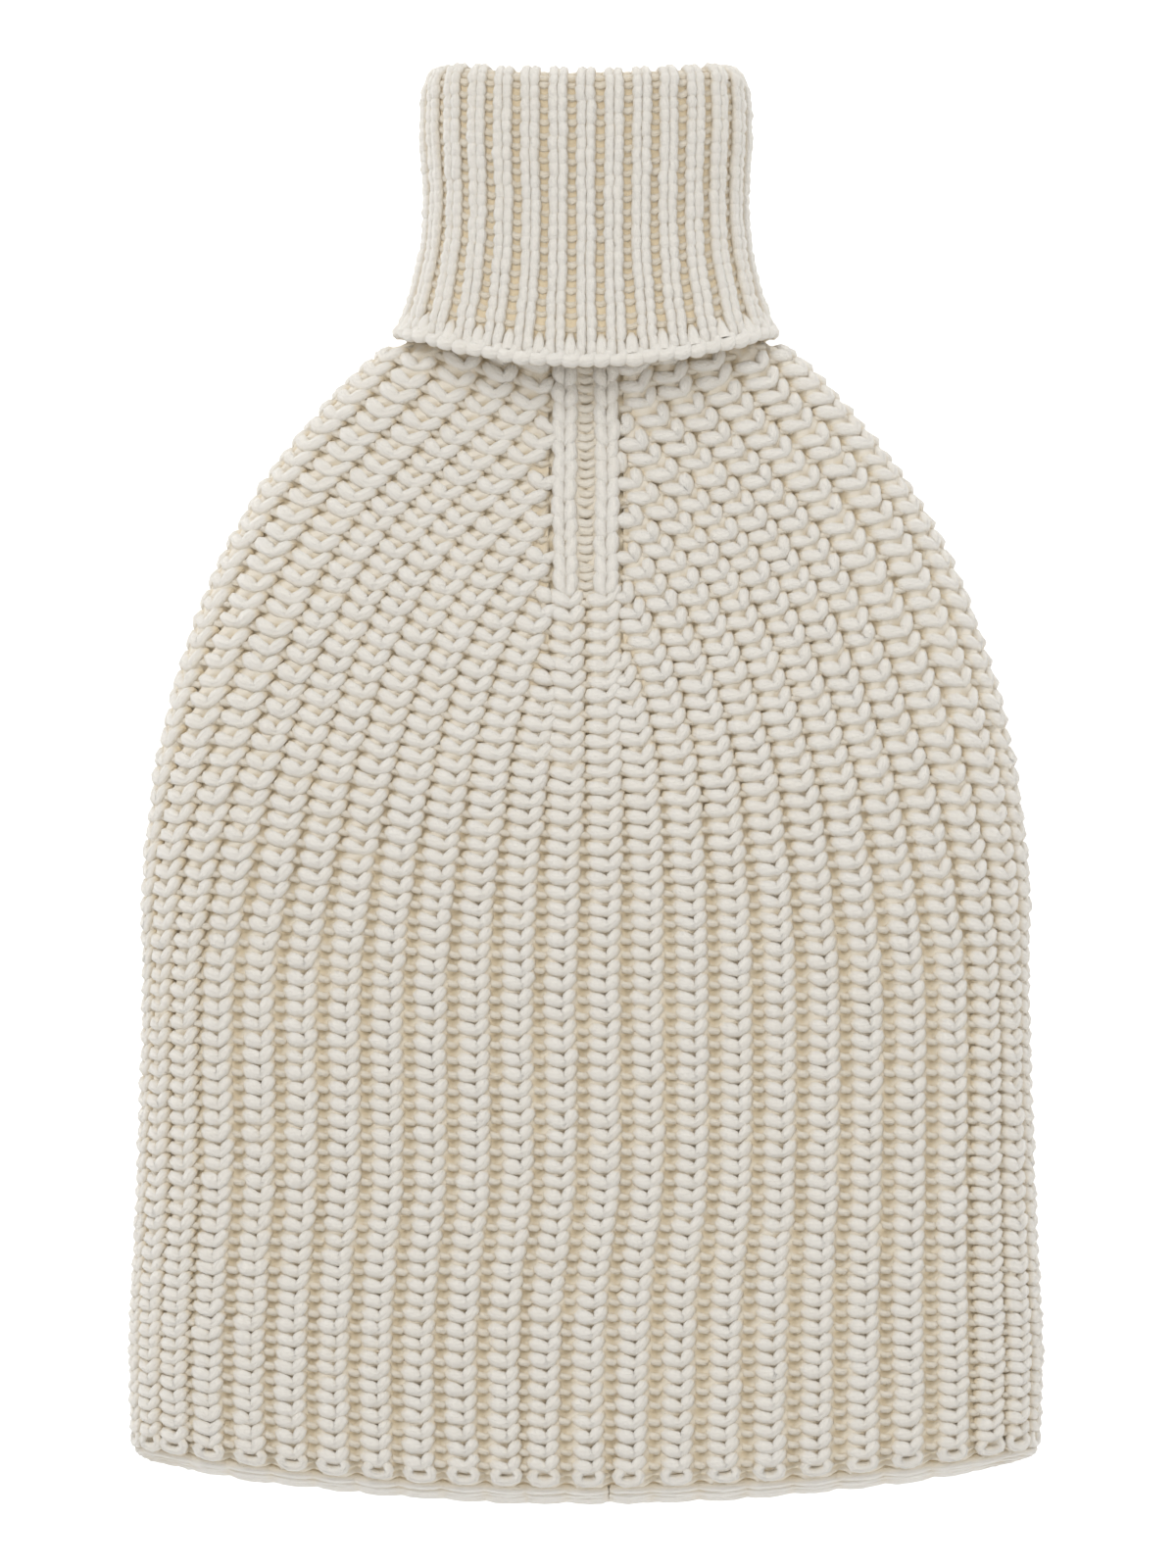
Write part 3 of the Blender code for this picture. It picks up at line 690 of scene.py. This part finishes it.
    outward = add(tree, vector, {0: found["outward"]}, operation="NORMALIZE")
    below = add(tree, separate, {0: flat}).outputs["Z"]
    depth = add(tree, number, {0: below, 1: -1.0}, operation="MULTIPLY")
    for name, value, kind in (("thickness", thick, "FLOAT"), ("depth", depth, "FLOAT"),
                              ("rib_width", width, "FLOAT"), ("outward", outward, "FLOAT_VECTOR"),
                              ("missing", missing, "FLOAT")):
        yarn = add(tree, store, {"Geometry": yarn, "Name": name, "Value": value}, data_type=kind,
                   domain="POINT")

    # the yarn goes there, as far below the crests as its knots say, and not into the floor
    wander = add(tree, "ShaderNodeTexNoise", {"Vector": flat, "Scale": WANDER, "Detail": 1.0})
    wander = add(tree, vector, {0: wander.outputs["Color"], 1: (0.5, 0.5, 0.5)}, operation="SUBTRACT")
    wander = add(tree, vector, {0: wander, "Scale": given["Unevenness"]}, operation="SCALE")
    sunk = add(tree, vector, {0: kept["outward"], "Scale": below}, operation="SCALE")
    there = add(tree, vector, {0: found["place"], 1: sunk}, operation="ADD")
    there = add(tree, vector, {0: there, 1: wander}, operation="ADD")
    parts = add(tree, separate, {0: there}).outputs
    half = add(tree, number, {0: kept["thickness"], 1: 0.5}, operation="MULTIPLY")
    above_floor = add(tree, number, {0: parts["Z"], 1: half}, operation="MAXIMUM")
    there = add(tree, combine, {"X": parts["X"], "Y": parts["Y"], "Z": above_floor})
    yarn = add(tree, "GeometryNodeSetPosition", {"Geometry": yarn, "Position": there})

    # a stitch on a rib that has ended, or with a point past the surface's edge, is left out
    left = add(tree, number, {0: kept["rib_width"], 1: kept["missing"]}, operation="SUBTRACT")
    ended = add(tree, "FunctionNodeCompare", {0: left, 1: given["Least Rib"]}, operation="LESS_THAN")
    yarn = add(tree, "GeometryNodeDeleteGeometry", {"Geometry": yarn, "Selection": ended},
               domain="CURVE")

    # its thickness, the length and turn along the strand for its streaks, and each point's depth,
    # which the wool turns into painted shade
    spline = add(tree, "GeometryNodeSplineParameter").outputs
    yarn = add(tree, store, {"Geometry": yarn, "Name": "strand_length", "Value": spline["Length"]},
               data_type="FLOAT", domain="POINT")
    turn = add(tree, number, {0: spline["Factor"], 1: 2 * math.pi}, operation="MULTIPLY")
    cosine = add(tree, number, {0: turn}, operation="COSINE")
    sine = add(tree, number, {0: turn}, operation="SINE")
    turn = add(tree, combine, {"Y": cosine, "Z": sine})
    ring = add(tree, "GeometryNodeCurvePrimitiveCircle", {"Resolution": given["Sides"], "Radius": 0.5})
    ring = add(tree, store, {"Geometry": ring, "Name": "strand_turn", "Value": turn},
               data_type="FLOAT_VECTOR", domain="POINT")
    yarn = add(tree, "GeometryNodeCurveToMesh", {"Curve": yarn, "Profile Curve": ring,
                                                 "Scale": kept["thickness"], "Fill Caps": True})
    strand = add(tree, combine, {"X": kept["strand_length"]})
    strand = add(tree, vector, {0: strand, 1: kept["strand_turn"]}, operation="ADD")
    normal = add(tree, "GeometryNodeInputNormal")
    facing = add(tree, vector, {0: normal, 1: kept["outward"]}, operation="DOT_PRODUCT")
    nearer = add(tree, number, {0: half, 1: facing.outputs["Value"]}, operation="MULTIPLY")
    depth = add(tree, number, {0: kept["depth"], 1: nearer}, operation="SUBTRACT")
    for name, value, kind in (("strand", strand, "FLOAT_VECTOR"), ("depth", depth, "FLOAT")):
        yarn = add(tree, store, {"Geometry": yarn, "Name": name, "Value": value}, data_type=kind,
                   domain="POINT")
    yarn = add(tree, "GeometryNodeSetShadeSmooth", {"Geometry": yarn})
    yarn = add(tree, "GeometryNodeRealizeInstances", {"Geometry": yarn})
    yarn = add(tree, "GeometryNodeSetMaterial", {"Geometry": yarn, "Material": given["Wool"]})
    tree.links.new(yarn.outputs[0], end.inputs[0])
    return tree


stitches = stitch_tree()


def knit_piece(name, **values):
    """A piece of yarn made by the stitch tree, as a plain mesh, and dressed as part of the cover."""
    values.setdefault("Row_Step", 1.0)
    carrier = bpy.data.objects.new(name, bpy.data.meshes.new(name))
    bpy.context.scene.collection.objects.link(carrier)
    modifier = carrier.modifiers.new("stitches", "NODES")
    modifier.node_group = stitches
    sockets = {item.name: item.identifier for item in stitches.interface.items_tree
               if item.in_out == "INPUT"}
    for key, value in values.items():
        modifier[sockets[key.replace("_", " ")]] = value
    modifier[sockets["Wool"]] = wool
    graph = bpy.context.evaluated_depsgraph_get()
    made = bpy.data.meshes.new_from_object(carrier.evaluated_get(graph), depsgraph=graph)
    bpy.data.objects.remove(carrier)
    made.name = name
    piece = bpy.data.objects.new(name, made)
    bpy.context.scene.collection.objects.link(piece)
    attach(piece, "root")
    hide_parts("cover")


loop = strand_path("loop", LOOP, 0)
body_rows_knitted = int(body_last_row - FIRST_LOOP)
middle_change = np.interp(MIDDLE_START, body_rows[:, centre, 1], body_numbers[:, centre])
middle_row = int(middle_change - FIRST_LOOP)
body_values = dict(Stitch=loop, Surface=body_pattern, First_Row=FIRST_LOOP + FIRST_BAR, Rib_Step=1.0,
                   Yarn=YARN, Sides=6, Least_Rib=LEAST_RIB * MM, Full_Rib=FULL_RIB,
                   Unevenness=0.8 * MM)
for name, first, count, rows in (("front_loops_left", -13, 12, body_rows_knitted),
                                 ("front_loops_right", 1, 12, body_rows_knitted),
                                 ("back_loops_left", -24, 11, body_rows_knitted),
                                 ("back_loops_right", 13, 11, body_rows_knitted),
                                 ("front_loops_middle", -1, 2, middle_row),
                                 ("back_loops_middle", 24, 2, middle_row)):
    knit_piece(name, **body_values, Ribs=count, Rows=rows, First_Rib=first + 0.5, Seed=first + 40)

# In the groove between two ribs the same yarn crosses at each row as a thin bar.
GROOVE_YARN = YARN * 0.56
GROOVE_BAR = [
    Knot(-0.27, 0.26, 2.8, 0.8),
    Knot(-0.10, 0.03, 2.1, 1.0),
    Knot(0.10, -0.03, 2.1, 1.0),
    Knot(0.27, 0.14, 2.8, 0.8),
]
groove_bar = strand_path("groove_bar", GROOVE_BAR, 0)
groove_values = {**body_values, "Stitch": groove_bar, "Yarn": GROOVE_YARN, "Sides": 5,
                 "Unevenness": 0.4 * MM}
for name, first, count in (("front_groove_bars", -12, 25), ("back_groove_bars_left", -24, 12),
                           ("back_groove_bars_right", 13, 13)):
    knit_piece(name, **groove_values, Ribs=count, Rows=body_rows_knitted, First_Rib=first,
               Seed=first + 60)
bpy.data.objects.remove(groove_bar)


# ---- Lower edge ----
# Each rib of the body ends in a round loop of the same yarn. Below these loops the knit turns under
# in plain rows of bars, as far as the line on which front and back are closed together.
EDGE_YARN = YARN * 0.85
EDGE_START = 0.62           # the first row of bars, just above that line
EDGE_ROWS = 7
ROUND_START = FIRST_LOOP + 0.25
ROUND_LOOP = [
    Knot(-0.10, 0.70, 2.4, 0.8),
    Knot(-0.28, 0.50, 1.8, 0.95),
    Knot(-0.38, 0.12, 1.5, 1.0),
    Knot(-0.31, -0.28, 1.4, 1.0),
    Knot(-0.11, -0.52, 1.4, 1.0),
    Knot(0.14, -0.50, 1.4, 1.0),
    Knot(0.33, -0.24, 1.4, 1.0),
    Knot(0.38, 0.15, 1.5, 0.95),
    Knot(0.29, 0.50, 1.8, 0.9),
    Knot(0.10, 0.70, 2.6, 0.8),
]
EDGE_BAR = [
    Knot(-0.80, 0.03, 2.1, 0.95),
    Knot(-0.40, 0.0, 1.7, 1.05),
    Knot(0.0, 0.0, 1.6, 1.1),
    Knot(0.40, 0.0, 1.7, 1.05),
    Knot(0.80, 0.03, 2.1, 0.95),
]
for name, knots, first, rows in (("edge_loops", ROUND_LOOP, ROUND_START, 1),
                                 ("edge_rows", EDGE_BAR, EDGE_START, EDGE_ROWS)):
    path = strand_path(name + "_path", knots, 0)
    edge_values = {**body_values, "Stitch": path, "First_Row": first, "Yarn": EDGE_YARN,
                   "Least_Rib": 0.0}
    knit_piece(name, **edge_values, Ribs=RIBS, Rows=rows, First_Rib=0.5 - RIBS / 2, Seed=21)
    bpy.data.objects.remove(path)


# ---- Middle columns of the shoulders ----
# Where the outer ribs start to end on them, the two middle columns change to pairs of slim upright
# legs of the same yarn, and between the columns thin bars cross like the rungs of a ladder.
MIDDLE_YARN = YARN * 0.95
MIDDLE_PLACE = 0.56         # the middle line of each column, in ribs from the centre
MIDDLE_FIRST = FIRST_LOOP + middle_row + 0.6
RUNG_SPACING = 0.5          # in rows
MIDDLE_LEFT_LEG = [
    Knot(-0.06, -0.28, 2.6, 0.75),
    Knot(-0.10, 0.0, 1.6, 0.98),
    Knot(-0.15, 0.34, 1.2, 1.06),
    Knot(-0.175, 0.68, 1.2, 1.02),
    Knot(-0.165, 0.98, 1.7, 0.9),
    Knot(-0.13, 1.20, 2.8, 0.72),
]
MIDDLE_RIGHT_LEG = [Knot(-k.across, k.up, k.below, k.thick) for k in MIDDLE_LEFT_LEG]
RUNG = [
    Knot(-0.34, 0.06, 3.0, 0.6),
    Knot(-0.2, 0.01, 2.3, 0.7),
    Knot(0.0, 0.0, 2.1, 0.74),
    Knot(0.2, 0.01, 2.3, 0.7),
    Knot(0.34, 0.06, 3.0, 0.6),
]
for name, knots, place, count, spacing in (
        ("middle_left_legs", MIDDLE_LEFT_LEG, MIDDLE_PLACE, 2, 1.0),
        ("middle_right_legs", MIDDLE_RIGHT_LEG, MIDDLE_PLACE, 2, 1.0),
        ("middle_rungs", RUNG, 0.0, 1, RUNG_SPACING)):
    path = strand_path(name + "_path", knots, 1)
    middle_values = {**body_values, "Stitch": path, "Yarn": MIDDLE_YARN, "Least_Rib": 0.0,
                     "First_Row": MIDDLE_FIRST, "Rib_Step": 2 * place}
    rows = int((body_rows_knitted - middle_row - 1) / spacing)
    for face, turned in (("front", 0), ("back", RIBS / 2)):
        knit_piece(face + "_" + name, **middle_values, Row_Step=spacing, Ribs=count, Rows=rows,
                   First_Rib=turned - place, Seed=9)
    bpy.data.objects.remove(path)


# ---- Collar ----
# The turned-down collar is a finer rib in the same wool. Each rib is a column of smooth legs in
# pairs, and between two columns short bars cross the gap. It goes over the fold into the neck.
COLLAR_YARN = 2.5 * MM
COLLAR_FULL_RIB = 6.0 * MM
COLLAR_START = 0.85         # first row of legs and bars above the hem
HALF_COLLAR = COLLAR_RIBS / 2
LEFT_LEG = [
    Knot(-0.12, -0.20, 1.75, 0.92),
    Knot(-0.15, 0.10, 1.35, 1.03),
    Knot(-0.165, 0.45, 1.2, 1.08),
    Knot(-0.155, 0.80, 1.35, 1.03),
    Knot(-0.13, 1.15, 1.75, 0.92),
]
RIGHT_LEG = [Knot(-k.across, k.up, k.below, k.thick) for k in LEFT_LEG]
COLLAR_BAR = [
    Knot(-0.34, 0.34, 2.7, 0.72),
    Knot(-0.17, 0.07, 2.5, 0.8),
    Knot(0.0, -0.03, 2.45, 0.84),
    Knot(0.17, 0.07, 2.5, 0.8),
    Knot(0.34, 0.34, 2.7, 0.72),
]
collar_values = dict(Surface=collar_pattern, Yarn=COLLAR_YARN, Least_Rib=LEAST_RIB * MM,
                     Full_Rib=COLLAR_FULL_RIB)
for name, knots, first in (("collar_legs_left", LEFT_LEG, -HALF_COLLAR),
                           ("collar_legs_right", RIGHT_LEG, -HALF_COLLAR),
                           ("collar_bars", COLLAR_BAR, 0.5 - HALF_COLLAR)):
    path = strand_path(name + "_path", knots, 0)
    knit_piece(name, **collar_values, Stitch=path, Ribs=COLLAR_RIBS, Rows=int(collar_last_row - 2),
               First_Rib=first, First_Row=COLLAR_START, Rib_Step=1.0, Sides=6, Unevenness=0.5 * MM,
               Seed=11)
    bpy.data.objects.remove(path)


# ---- Hem of the collar ----
# The collar ends in a cast-off edge, a chain of rounded beads of its own yarn with two to each rib.
# Above it each gap between two ribs closes in a small wedge of yarn that fans out downwards.
BEAD = [
    Knot(-0.27, 0.55, 2.4, 0.8),
    Knot(-0.21, 0.15, 1.4, 1.2),
    Knot(-0.03, 0.0, 1.0, 1.4),
    Knot(0.16, 0.12, 1.1, 1.35),
    Knot(0.23, 0.6, 1.5, 1.2),
    Knot(0.1, 1.0, 2.4, 0.9),
]
WEDGE = [
    Knot(0.0, 0.3, 1.7, 1.5),
    Knot(0.0, 0.9, 1.6, 1.35),
    Knot(0.0, 1.5, 1.7, 1.05),
    Knot(0.0, 2.0, 2.2, 0.6),
]
bead, wedge = strand_path("bead", BEAD, 1), strand_path("wedge", WEDGE, 0)
knit_piece("hem_beads", **collar_values, Stitch=bead, Ribs=2 * COLLAR_RIBS, Rows=1, Rib_Step=0.5,
           First_Rib=-HALF_COLLAR, First_Row=0.25, Sides=8, Unevenness=0.5 * MM, Seed=3)
knit_piece("hem_wedges", **collar_values, Stitch=wedge, Ribs=COLLAR_RIBS, Rows=1, Rib_Step=1.0,
           First_Rib=0.5 - HALF_COLLAR, First_Row=0.4, Sides=8, Unevenness=0.3 * MM, Seed=4)

for helper in (loop, bead, wedge, body_pattern, collar_pattern):
    bpy.data.objects.remove(helper)


# ---- Floor, light and camera ----
# A plain white floor with soft light from all round and a little more from the upper left, seen
# from straight above.
FLOOR_SIZE = 4.0
bpy.ops.mesh.primitive_plane_add(size=FLOOR_SIZE)
floor = bpy.context.object
floor.name = "floor"
# White acrylic: opal sheet with a sanded face, lit from below. To the eye it is an even white that
# takes hardly any shadow.
acrylic = bpy.data.materials.new("white acrylic, lit from below")
acrylic.use_nodes = True
shader = acrylic.node_tree.nodes["Principled BSDF"]
shader.inputs["Base Color"].default_value = colour("#FBFBFB")
shader.inputs["Roughness"].default_value = 0.9
shader.inputs["Emission Color"].default_value = (1, 1, 1, 1)
shader.inputs["Emission Strength"].default_value = 0.5
floor.data.materials.append(acrylic)

world = bpy.data.worlds.new("studio")
world.use_nodes = True
world.node_tree.nodes["Background"].inputs["Color"].default_value = (1, 1, 1, 1)
world.node_tree.nodes["Background"].inputs["Strength"].default_value = 0.84
bpy.context.scene.world = world

for name, place, size, power in (("softbox", (-0.85, 1.7, 1.7), 1.3, 20.0),
                                 ("fill", (0.9, -0.3, 1.3), 1.2, 1.6)):
    light = bpy.data.lights.new(name, "AREA")
    light.shape = "SQUARE"
    light.size = size
    light.energy = power
    lamp = bpy.data.objects.new(name, light)
    lamp.location = place
    lamp.rotation_mode = "QUATERNION"
    lamp.rotation_quaternion = (-Vector(place)).to_track_quat("-Z", "Y")
    bpy.context.scene.collection.objects.link(lamp)

CAMERA_HEIGHT = 2.5
FRAME_LENGTH = 0.3877       # seen from top to bottom at the cover's mid height
MID_HEIGHT = 0.022
camera = bpy.data.cameras.new("camera")
camera.sensor_width = 36
camera.lens = camera.sensor_width * (CAMERA_HEIGHT - MID_HEIGHT) / FRAME_LENGTH
view = bpy.data.objects.new("camera", camera)
view.location = (0.0005, -0.0001, CAMERA_HEIGHT)
bpy.context.scene.collection.objects.link(view)
bpy.context.scene.camera = view
bpy.context.scene.view_settings.view_transform = "Standard"
